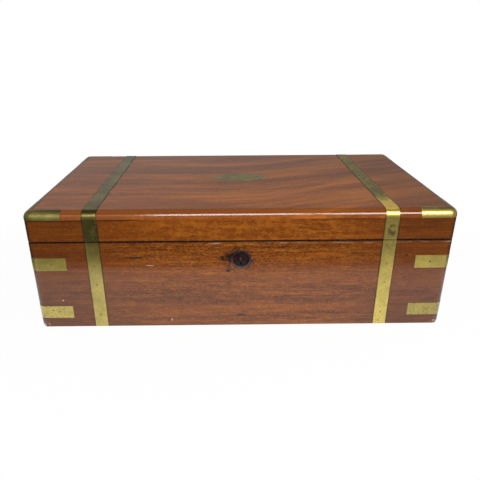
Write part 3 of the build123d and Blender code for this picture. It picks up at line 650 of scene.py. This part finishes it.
# Each brass: what is its own, and the pieces of it.
BRASSES = {
    "left_lid": (
        dict(film=0.65, green=0.4, shift=(1, 0, 0), dull=-0.1, marks=left_strap_marks),
        "lid_left_strap",
    ),
    "left_base": (
        dict(film=0.34, green=0.1, specks=0.15, shift=(2, 0, 0), marks=left_strap_marks, wax=0.9),
        "base_front_left_strap", "base_back_left_strap",
    ),
    "right": (
        dict(film=-0.05, green=-0.3, specks=0.4, shift=(3, 0, 0), dull=0.11, marks=right_strap_marks),
        "lid_right_strap", "base_front_right_strap", "base_back_right_strap",
    ),
    "left_upper_corner": (
        dict(film=0.4, green=0.5, specks=0.2, shift=(4, 0, 0), dull=0.05),
        "front_left_upper_corner_strap",
    ),
    "left_lower_corner": (
        dict(film=0.35, specks=0.9, shift=(5, 0, 0), wax=0.8), "front_left_lower_corner_strap",
    ),
    "right_upper_corner": (
        dict(film=-0.1, green=-0.3, shift=(6, 0, 0), dull=0.1), "front_right_upper_corner_strap",
    ),
    "right_lower_corner": (
        dict(film=0.55, green=-0.2, specks=1.0, shift=(6, 2, 0), dull=0.08, wax=0.8),
        "front_right_lower_corner_strap",
    ),
    "back_corners": (
        dict(film=0.2, green=0.1, specks=0.5, shift=(6, 5, 0), dull=0.08),
        "back_lower_corner_straps", "lid_back_corner_straps",
    ),
    "left_mount": (
        dict(film=0.9, green=0.5, shift=(7, 0, 0), dull=0.12, wax=1.0),
        "lid_front_left_corner_mount", "lid_back_left_corner_mount",
    ),
    "right_mount": (
        dict(film=-0.15, green=-0.3, specks=0.5, shift=(8, 0, 0), dull=0.14, wax=1.0),
        "lid_front_right_corner_mount", "lid_back_right_corner_mount",
    ),
    "cartouche": (
        dict(film=0.0, specks=0.2, shift=(9, 0, 0), marks=cartouche_marks), "lid_cartouche",
    ),
    "inside": (
        dict(film=0.3, shift=(10, 0, 0)),
        "hinge_base_leaves", "hinge_lid_leaves", "hinge_pins", "base_flap_hinge_fixed_leaves",
        "base_flap_hinge_moving_leaves", "lid_flap_hinge_fixed_leaves",
        "lid_flap_hinge_moving_leaves", "lid_flap_catch", "left_inkwell_collar",
        "right_inkwell_collar", "left_inkwell_cap", "right_inkwell_cap", "lock_plate",
        "lock_link_plate",
    ),
}


class SLOPE_OT_tarnish_brass(bpy.types.Operator):
    """Give each brass strap, corner, mount and hinge its own tarnish"""

    bl_idname = "slope.tarnish_brass"
    bl_label = "Tarnish the brass"

    def execute(self, context):
        settings = context.scene.slope_brass
        for name, (own, *pieces) in BRASSES.items():
            give(pieces, old_brass(settings, f"brass_{name}", **own))
        give(["key_escutcheon"], blackened(settings))
        return {"FINISHED"}


def blackened(settings):
    """The blackened key plate, rubbed grey on its rounded rim."""
    look = Look("blackened_brass")
    spots = look.noise(380, 4.0, 0.6)
    # Grey rubbed spots, and a painted highlight that grows towards the bottom of the plate.
    lit = spots.rise(0.48, 0.66) * 0.5 + (look.z - KEY_Z).rise(0.004, -0.008)
    colour = look.mix((lit * 0.30).at_most(1.0), rgba(settings.blackened, 0.4), RUBBED_AND_LIT_GREY)
    normal = look.bump(spots, 0.3, 0.0002)
    rough = 0.38 + lit * 0.12
    return look.polished(Base_Color=colour, Metallic=0.7, Roughness=rough, Normal=normal)


# ---- Leather, glass and lock steel ----
RUST_COLOUR = (0.09, 0.035, 0.015, 1)
GILT_GAP = 0.003
GLASS_IOR = 1.5


def tooled_leather(inside, piece):
    """Pebbled hide with a gilt line set in from its edge, and a thinner one inside it."""
    look = Look(piece + "_hide")
    low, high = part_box(piece)
    from_side = (look.x.size() - high.x).size()
    from_end = ((look.y - (low.y + high.y) / 2).size() - (high.y - low.y) / 2).size()
    from_edge = from_side.at_most(from_end)
    line = from_edge.near(inside.gilt_inset, inside.gilt_width, 0.0002)
    thin = from_edge.near(inside.gilt_inset + GILT_GAP, inside.gilt_width * 0.35, 0.0002)
    rubbed = look.noise(170, 4.0, 0.6)
    gilt = line.at_least(thin) * rubbed.rise(0.34, 0.46)
    pebbled = {"Vector": look.stretched(900), "Scale": 1.0}
    pebble = look.node("ShaderNodeTexVoronoi", pebbled, "Distance")
    wear = look.noise(14, 5.0, 0.6)
    colour = look.mix(wear.rise(0.40, 0.70), rgba(inside.hide), rgba(inside.hide, 2.2))
    edge_dark = from_edge.rise(0.012, 0.0)
    colour = look.mix(edge_dark * 0.5, colour, rgba(inside.hide, 0.4))
    spill = look.speck((0.06, low.y + 0.03, 0), (0.012, 0.007, 0), 0.5) * rubbed.rise(0.40, 0.50)
    colour = look.mix(spill * 0.8, colour, rgba(inside.ink))
    colour = look.mix(gilt, colour, rgba(inside.gilt))
    rough = 0.52 - wear * 0.15 - gilt * 0.1
    normal = look.bump(pebble.rise(0.0, 0.6) * (1 - gilt) + wear * 0.5, 0.4, 0.0003)
    return look.polished(Base_Color=colour, Metallic=gilt, Roughness=rough, Normal=normal)


class SLOPE_OT_lay_leather(bpy.types.Operator):
    """Lay the gilt edged leather on both writing flaps"""

    bl_idname = "slope.lay_leather"
    bl_label = "Lay the leather"

    def execute(self, context):
        for piece in ("base_writing_leather", "lid_writing_leather"):
            give([piece], tooled_leather(context.scene.slope_inside, piece))
        return {"FINISHED"}


def well_glass(inside):
    """Thick moulded glass, a little uneven and hazy."""
    look = Look("inkwell_glass")
    uneven = look.noise(60)
    haze = look.noise(400)
    colour = look.mix(uneven.rise(0.4, 0.7) * 0.5, rgba(inside.glass), rgba(inside.glass, 0.86))
    normal = look.bump(uneven, 0.15, 0.001)
    return look.polished(
        Base_Color=colour, Roughness=haze * 0.12, Normal=normal, Transmission_Weight=1.0, IOR=GLASS_IOR
    )


class SLOPE_OT_blow_glass(bpy.types.Operator):
    """Make both inkwells of thick clear glass"""

    bl_idname = "slope.blow_glass"
    bl_label = "Blow the inkwells"

    def execute(self, context):
        give(["left_inkwell_glass", "right_inkwell_glass"], well_glass(context.scene.slope_inside))
        return {"FINISHED"}


def lock_steel(inside):
    """Filed steel with rust here and there."""
    look = Look("lock_steel")
    filed = look.noise((700, 40, 700), 2.0)
    rust = look.noise(120, 5.0, 0.65)
    rusty = rust.rise(0.56, 0.70)
    colour = look.mix(rusty * 0.7, rgba(inside.steel), RUST_COLOUR)
    rough = 0.35 + filed * 0.15 + rusty * 0.3
    normal = look.bump(filed + rust * 0.5, 0.3, 0.0001)
    metallic = 1 - rusty * 0.8
    return look.polished(Base_Color=colour, Metallic=metallic, Roughness=rough, Normal=normal)


class SLOPE_OT_dull_steel(bpy.types.Operator):
    """Dull the steel of the lock's case and bolt"""

    bl_idname = "slope.dull_steel"
    bl_label = "Dull the lock steel"

    def execute(self, context):
        give(["lock_case", "lock_bolt"], lock_steel(context.scene.slope_inside))
        return {"FINISHED"}


# ---- Small fixings ----
# The vertices and faces of new pieces are sorted along this direction.
ORDER = Vector((1, 0.618, 0.377))
PIN_INSET = 0.0225
# Radius and width of the dirt round a pin, its shoulder and its dome, as shares of its diameter.
PIN_DIRT_RADIUS, PIN_DIRT_WIDTH, PIN_SHOULDER, PIN_DOME = 0.72, 0.22, 0.12, 0.18
CORNER_STRAPS = {
    "base": (
        "front_left_lower_corner_strap", "front_right_lower_corner_strap",
        "front_left_upper_corner_strap", "front_right_upper_corner_strap", "back_lower_corner_straps",
    ),
    "lid": ("lid_back_corner_straps",),
}
SCREW_STAND = 0.00008
HINGE_SCREWS = (-0.022, 0.0, 0.022)
HINGE_SCREW_BACK = -0.0068
LOCK_SCREW_X = 0.0325
LOCK_SCREW_Y = -0.1336
# How far round the first slot stands, each next one, and those of the lock and of the lid.
FIRST_TURN, NEXT_TURN, LOCK_TURN, LID_TURN = 0.4, 0.9, 0.3, 0.5
INK_RADIUS = 0.0142
INK_FLOOR = 0.00615
# Width and height of the ink's two rings: up the glass, then a little down to the middle.
INK_RINGS = ((0.0022, 0.0005), (0.003, -0.0002))


def new_piece(mesh, name, materials):
    """Turn a bmesh into an object of the scene."""
    data = bpy.data.meshes.new(name)
    mesh.to_mesh(data)
    mesh.free()
    for material in materials:
        data.materials.append(material)
    piece = bpy.data.objects.new(name, data)
    bpy.context.scene.collection.objects.link(piece)
    return piece


def finish_piece(mesh, name, body, materials):
    """Turn a bmesh into a piece that rides on a body, with its vertices and faces in a fixed order."""
    bmesh.ops.recalc_face_normals(mesh, faces=mesh.faces)
    mesh.verts.sort(key=lambda vert: vert.co.dot(ORDER))
    mesh.faces.sort(key=lambda face: face.calc_center_median().dot(ORDER))
    piece = new_piece(mesh, name, materials)
    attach(piece, body)


def move_new(mesh, before, matrix):
    """Move the vertices that were not there before."""
    new = [vert for vert in mesh.verts if vert not in before]
    bmesh.ops.transform(mesh, matrix=matrix, verts=new)


def facing(point, normal):
    """The matrix that stands a shape made on the ground on a surface."""
    turn = Vector((0, 0, 1)).rotation_difference(Vector(normal)).to_matrix().to_4x4()
    return Matrix.Translation(point) @ turn


def add_pin(mesh, point, normal, diameter, height):
    """A low domed pin head with a ring of dirt round it."""
    before = set(mesh.verts)
    made = bmesh.ops.create_circle(mesh, cap_ends=True, segments=14, radius=diameter * PIN_DIRT_RADIUS)
    rim = list(made["verts"][0].link_faces)
    dirt = diameter * PIN_DIRT_WIDTH
    ring = bmesh.ops.inset_region(mesh, faces=rim, thickness=dirt, use_even_offset=True)
    for face in ring["faces"]:
        face.material_index = 1
    lifted = bmesh.ops.inset_region(mesh, faces=rim, thickness=diameter * PIN_SHOULDER, depth=height)
    for face in lifted["faces"] + rim:
        face.smooth = True
    bmesh.ops.inset_region(mesh, faces=rim, thickness=diameter * PIN_DOME, depth=height * 0.6)
    move_new(mesh, before, facing(point, normal))


def add_screw(mesh, point, normal, diameter, slot_width, turn):
    """A flat countersunk screw head with its slot cut across."""
    before = set(mesh.verts)
    radius = diameter / 2
    depth = slot_width * 1.2
    for side in (-1, 1):
        made = bmesh.ops.create_circle(mesh, cap_ends=True, segments=24, radius=radius)
        half = made["verts"]
        edges = dict.fromkeys(edge for vert in half for edge in vert.link_edges)
        faces = dict.fromkeys(face for vert in half for face in vert.link_faces)
        bmesh.ops.bisect_plane(
            mesh, geom=[*half, *edges, *faces], plane_co=(side * slot_width / 2, 0, 0),
            plane_no=(-side, 0, 0), clear_outer=True,
        )
    heads = [face for face in mesh.faces if not set(face.verts) & before]
    raised = bmesh.ops.extrude_face_region(mesh, geom=heads)
    top = [item for item in raised["geom"] if isinstance(item, bmesh.types.BMVert)]
    bmesh.ops.translate(mesh, verts=top, vec=(0, 0, SCREW_STAND + depth))
    floor = bmesh.ops.create_circle(mesh, cap_ends=True, segments=24, radius=radius * 0.98)
    for face in floor["verts"][0].link_faces:
        face.material_index = 1
    bmesh.ops.translate(mesh, verts=floor["verts"], vec=(0, 0, slot_width * 0.1))
    sink = Matrix.Translation((0, 0, -depth))
    move_new(mesh, before, facing(point, normal) @ sink @ Matrix.Rotation(turn, 4, "Z"))


def pin_finish(settings):
    """Tarnished pin heads, and the dirt round them."""
    head = old_brass(settings, "brass_pins", 0.6, 0.1, 0.5, (12, 0, 0))
    look = Look("pin_dirt")
    uneven = look.noise(900, 2.0)
    colour = look.mix(uneven, rgba(settings.stain, 0.6), rgba(settings.stain, 1.6))
    normal = look.bump(uneven, 0.2, 0.0001)
    return [head, look.polished(Base_Color=colour, Roughness=0.6 + uneven * 0.2, Normal=normal)]


def pin_places(straps):
    """Where the pins of these corner straps stand, and whether they face forwards or back."""
    for strap in straps:
        low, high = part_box(strap)
        face = -1 if low.y < 0 else 1
        for side in (-1, 1):
            if max(side * low.x, side * high.x) > 0:
                x = side * (HALF_LENGTH - PIN_INSET)
                yield (x, max(-low.y, high.y) * face, (low.z + high.z) / 2), face


class SLOPE_OT_drive_pins(bpy.types.Operator):
    """Drive the brass pins that hold the corner straps"""

    bl_idname = "slope.drive_pins"
    bl_label = "Drive the brass pins"

    def execute(self, context):
        fixings = context.scene.slope_fixings
        materials = pin_finish(context.scene.slope_brass)
        size = (fixings.pin_diameter, fixings.pin_height)
        for body, straps in CORNER_STRAPS.items():
            mesh = bmesh.new()
            for place, face in pin_places(straps):
                add_pin(mesh, place, (0, face, 0), *size)
            finish_piece(mesh, f"{body}_brass_pins", body, materials)
        return {"FINISHED"}


def on_seam(x, back, above):
    """A point in the seam's own frame: so far behind the hinge line and so high over the seam."""
    along_seam = Vector((0, math.cos(SEAM_ANGLE), -math.sin(SEAM_ANGLE)))
    return HINGE + Vector((x, 0, 0)) + along_seam * back + SEAM_NORMAL * above


def screw_places():
    """Where the screws of both hinges and of the lock stand along the seam, and how they are turned."""
    lock_back = (LOCK_SCREW_Y - HINGE.y) / math.cos(SEAM_ANGLE)
    turn = FIRST_TURN
    for side in (-1, 1):
        for step in HINGE_SCREWS:
            turn += NEXT_TURN
            yield side * HINGE_X + step, HINGE_SCREW_BACK, turn
        yield side * LOCK_SCREW_X, lock_back, turn + LOCK_TURN


class SLOPE_OT_drive_screws(bpy.types.Operator):
    """Drive the screws of the hinges and of the lock's plates"""

    bl_idname = "slope.drive_screws"
    bl_label = "Drive the screws"

    def execute(self, context):
        fixings = context.scene.slope_fixings
        materials = pin_finish(context.scene.slope_brass)
        size = (fixings.screw_diameter, fixings.slot_width)
        base = bmesh.new()
        lid = bmesh.new()
        for x, back, turn in screw_places():
            add_screw(base, on_seam(x, back, -HALF_SEAM_GAP), SEAM_NORMAL, *size, turn)
            add_screw(lid, on_seam(x, back, HALF_SEAM_GAP), -SEAM_NORMAL, *size, turn + LID_TURN)
        finish_piece(base, "base_hinge_and_lock_screws", "base", materials)
        finish_piece(lid, "lid_hinge_and_lock_screws", "lid", materials)
        return {"FINISHED"}


def dried_ink(inside):
    """Crusty dried ink."""
    look = Look("dried_ink")
    crust = look.noise(500, 4.0, 0.6)
    colour = look.mix(crust, rgba(inside.ink, 0.6), rgba(inside.ink, 2.0))
    normal = look.bump(crust, 0.5, 0.0004)
    return look.polished(Base_Color=colour, Roughness=0.35 + crust * 0.3, Normal=normal)


class SLOPE_OT_dry_ink(bpy.types.Operator):
    """Leave a film of dried ink on the floor of each inkwell"""

    bl_idname = "slope.dry_ink"
    bl_label = "Dry the ink"

    def execute(self, context):
        material = dried_ink(context.scene.slope_inside)
        for side in ("left", "right"):
            low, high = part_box(f"{side}_inkwell_glass")
            middle = (low + high) / 2
            mesh = bmesh.new()
            made = bmesh.ops.create_circle(mesh, cap_ends=True, segments=40, radius=INK_RADIUS)
            film = list(made["verts"][0].link_faces)
            for width, rise in INK_RINGS:
                bmesh.ops.inset_region(mesh, faces=film, thickness=width, depth=rise)
            place = Matrix.Translation((middle.x, middle.y, low.z + INK_FLOOR))
            bmesh.ops.transform(mesh, matrix=place, verts=mesh.verts)
            finish_piece(mesh, f"{side}_dried_ink", f"{side}_inkwell", [material])
        return {"FINISHED"}


# ---- Studio ----
FLOOR_HALF = 6.0
SHADOW_REACH = (0.55, 0.36)
ROOM_RADIUS = 3.0
ROOM_BLEND = 1.2
ROOM_FADE = (2.3, 1.3)
TABLE_SPREAD = 6
TABLE_BLEND = 0.35
TABLE_LIFT = 0.0006
WHITE = (1, 1, 1, 1)

# Lamps in front: name, place along X and share of the lamp power.
FRONT_LAMPS = (("dim_lamp", -0.63, 0.09), ("left_lamp", -0.01, 1.0), ("right_lamp", 0.66, 1.0))
FRONT_LAMP_SIZE = (0.6, 0.44)
FRONT_LAMP_Y, FRONT_LAMP_Z = -1.15, 0.995
FRONT_AIM_X, FRONT_AIM_Y, FRONT_AIM_Z = 0.3, -0.14, 0.14
# Weaker lamps behind, seen only in what they light.
FILL_LAMPS = {"left_fill": (-1.3, 1.0, 0.40), "right_fill": (1.3, 1.0, 0.40)}
FILL_SIZE = (0.8, 0.8)
FILL_AIM = (0, 0, 0.08)

CAMERA_PLACE = (-0.01593, -0.64777, 0.33402)
CAMERA_DEGREES = (66.468, 0.2827, -0.5949)
LENS = dict(
    lens=35.7496, sensor_width=36.0, sensor_fit="HORIZONTAL", shift_x=0.018672, shift_y=0.005919,
    clip_start=0.01,
)


def stage_piece(mesh, name, material):
    """Turn a bmesh into a piece of the studio."""
    piece = new_piece(mesh, name, [material])
    piece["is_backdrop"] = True
    return piece


def only_reflected(obj):
    """Show a stage piece in gloss alone."""
    for ray in ("camera", "diffuse", "transmission", "volume_scatter", "shadow"):
        setattr(obj, f"visible_{ray}", False)


def graded(name, at_left, at_right, half_width, fade=None):
    """A glow that changes from the left to the right, and fades upwards between two heights."""
    look = Look(name)
    across = look.x.rise(-half_width, half_width)
    colour = look.mix(across, rgba([at_left] * 3), rgba([at_right] * 3))
    strength = look.z.rise(*fade) * 0.85 + 0.15 if fade else 1.0
    return look.ended(look.node("ShaderNodeEmission", {"Color": colour, "Strength": strength}))


def hang_lamp(name, place, aim, power, size):
    """A flat soft lamp that points at its aim."""
    light = bpy.data.lights.new(name, "AREA")
    light.shape = "RECTANGLE"
    light.size, light.size_y = size
    light.energy = power
    lamp = bpy.data.objects.new(name, light)
    lamp.location = place
    lamp.rotation_euler = (Vector(aim) - lamp.location).to_track_quat("-Z", "Y").to_euler()
    bpy.context.scene.collection.objects.link(lamp)
    return lamp


def lay_floor(studio):
    """White paper that shows a weak shadow near the box and none further off."""
    look = Look("paper")
    paper = look.node("ShaderNodeBsdfDiffuse", {"Color": rgba(studio.floor_paper)})
    white = look.node("ShaderNodeEmission", {"Color": WHITE, "Strength": 1.0})
    out = (look.x * look.x + look.y * look.y) ** 0.5
    seen = look.looked_at() * (1 - studio.shadow * out.rise(*SHADOW_REACH))
    look.ended(look.node("ShaderNodeMixShader", {0: seen, 1: paper, 2: white}))
    mesh = bmesh.new()
    bmesh.ops.create_grid(mesh, x_segments=4, y_segments=4, size=FLOOR_HALF)
    stage_piece(mesh, "paper_floor", look.owner)


def build_room(studio):
    """A grey room round it all, which only gloss shows."""
    room = graded("grey_room", studio.room_left, studio.room_right, ROOM_BLEND, ROOM_FADE)
    mesh = bmesh.new()
    bmesh.ops.create_uvsphere(mesh, u_segments=48, v_segments=24, radius=ROOM_RADIUS)
    below = [face for face in mesh.faces if face.calc_center_median().z < 0]
    bmesh.ops.delete(mesh, geom=below, context="FACES")
    only_reflected(stage_piece(mesh, "grey_room", room))


def lay_table(studio):
    """A dark table beyond the paper, which only gloss shows."""
    table = graded("dark_table", studio.table_left, studio.table_right, TABLE_BLEND)
    mesh = bmesh.new()
    bmesh.ops.create_grid(mesh, x_segments=1, y_segments=1, size=1.0)
    inner = (HALF_LENGTH + studio.paper_reach, HALF_DEPTH + studio.paper_reach, 1)
    bmesh.ops.scale(mesh, vec=inner, verts=mesh.verts)
    edges = list(mesh.edges)
    bmesh.ops.delete(mesh, geom=list(mesh.faces), context="FACES_ONLY")
    outer = bmesh.ops.extrude_edge_only(mesh, edges=edges)
    moved = [item for item in outer["geom"] if isinstance(item, bmesh.types.BMVert)]
    bmesh.ops.scale(mesh, vec=(TABLE_SPREAD, TABLE_SPREAD, 1), verts=moved)
    bmesh.ops.translate(mesh, vec=(0, 0, TABLE_LIFT), verts=mesh.verts)
    only_reflected(stage_piece(mesh, "dark_table", table))


def hang_lamps(studio):
    """Two wide soft lamps in front, a dim one at their left, and two weaker ones low behind."""
    for name, x, share in FRONT_LAMPS:
        aim = (x * FRONT_AIM_X, FRONT_AIM_Y, FRONT_AIM_Z)
        place = (x, FRONT_LAMP_Y, FRONT_LAMP_Z)
        hang_lamp(name, place, aim, studio.lamp_power * share, FRONT_LAMP_SIZE)
    for name, place in FILL_LAMPS.items():
        lamp = hang_lamp(name, place, FILL_AIM, studio.fill_power, FILL_SIZE)
        lamp.visible_glossy = False


def light_the_world(scene, studio):
    """Weak daylight from all round, and plain white where the eye looks past everything."""
    world = bpy.data.worlds.new("daylight")
    sky = NodeTree(world)
    lit = sky.node("ShaderNodeBackground", {"Color": WHITE, "Strength": studio.daylight})
    white = sky.node("ShaderNodeBackground", {"Color": WHITE})
    mix = sky.node("ShaderNodeMixShader", {0: sky.looked_at(), 1: lit, 2: white})
    sky.node("ShaderNodeOutputWorld", {"Surface": mix})
    scene.world = world


def stand_camera(scene):
    """The camera stands in front of the box and looks down on it."""
    lens = bpy.data.cameras.new("camera")
    for name, value in LENS.items():
        setattr(lens, name, value)
    camera = bpy.data.objects.new("camera", lens)
    camera.location = CAMERA_PLACE
    camera.rotation_euler = Euler([math.radians(angle) for angle in CAMERA_DEGREES], "XYZ")
    scene.collection.objects.link(camera)
    scene.camera = camera


class SLOPE_OT_set_stage(bpy.types.Operator):
    """Lay the floor, hang the lamps and stand the camera"""

    bl_idname = "slope.set_stage"
    bl_label = "Set the stage"

    def execute(self, context):
        studio = context.scene.slope_studio
        lay_floor(studio)
        build_room(studio)
        lay_table(studio)
        hang_lamps(studio)
        light_the_world(context.scene, studio)
        stand_camera(context.scene)
        context.scene.view_settings.view_transform = "Standard"
        return {"FINISHED"}


# ---- Add-on ----
GROUPS = dict(
    slope_wood=WoodSettings, slope_brass=BrassSettings, slope_inside=InsideSettings,
    slope_fixings=FixingSettings, slope_studio=StudioSettings,
)
STEPS = (
    SLOPE_OT_polish_wood, SLOPE_OT_tarnish_brass, SLOPE_OT_lay_leather, SLOPE_OT_blow_glass,
    SLOPE_OT_dull_steel, SLOPE_OT_drive_pins, SLOPE_OT_drive_screws, SLOPE_OT_dry_ink,
    SLOPE_OT_set_stage,
)


class SLOPE_PT_sidebar(bpy.types.Panel):
    """The steps of the writing slope and what can be changed in them"""

    bl_label = "Writing slope"
    bl_idname = "SLOPE_PT_sidebar"
    bl_space_type = "VIEW_3D"
    bl_region_type = "UI"
    bl_category = "Writing slope"

    def draw(self, context):
        for step in STEPS:
            self.layout.operator(step.bl_idname)
        for name, group in GROUPS.items():
            column = self.layout.column(heading=group.__doc__)
            for setting in group.__annotations__:
                column.prop(getattr(context.scene, name), setting)


def register():
    for name, group in GROUPS.items():
        bpy.utils.register_class(group)
        setattr(bpy.types.Scene, name, bpy.props.PointerProperty(type=group))
    for kind in (*STEPS, SLOPE_PT_sidebar):
        bpy.utils.register_class(kind)


def unregister():
    for kind in (SLOPE_PT_sidebar, *reversed(STEPS)):
        bpy.utils.unregister_class(kind)
    for name, group in reversed(GROUPS.items()):
        delattr(bpy.types.Scene, name)
        bpy.utils.unregister_class(group)


def main():
    """Take every step in turn and write down the size before and after."""
    register()
    for step in STEPS:
        getattr(bpy.ops.slope, step.bl_idname.split(".")[1])()
    boxes = {"cad_box": box_before, "visual_box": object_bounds()}
    plain = {name: [list(map(float, corner)) for corner in box] for name, box in boxes.items()}


if __name__ == "__main__":
    main()
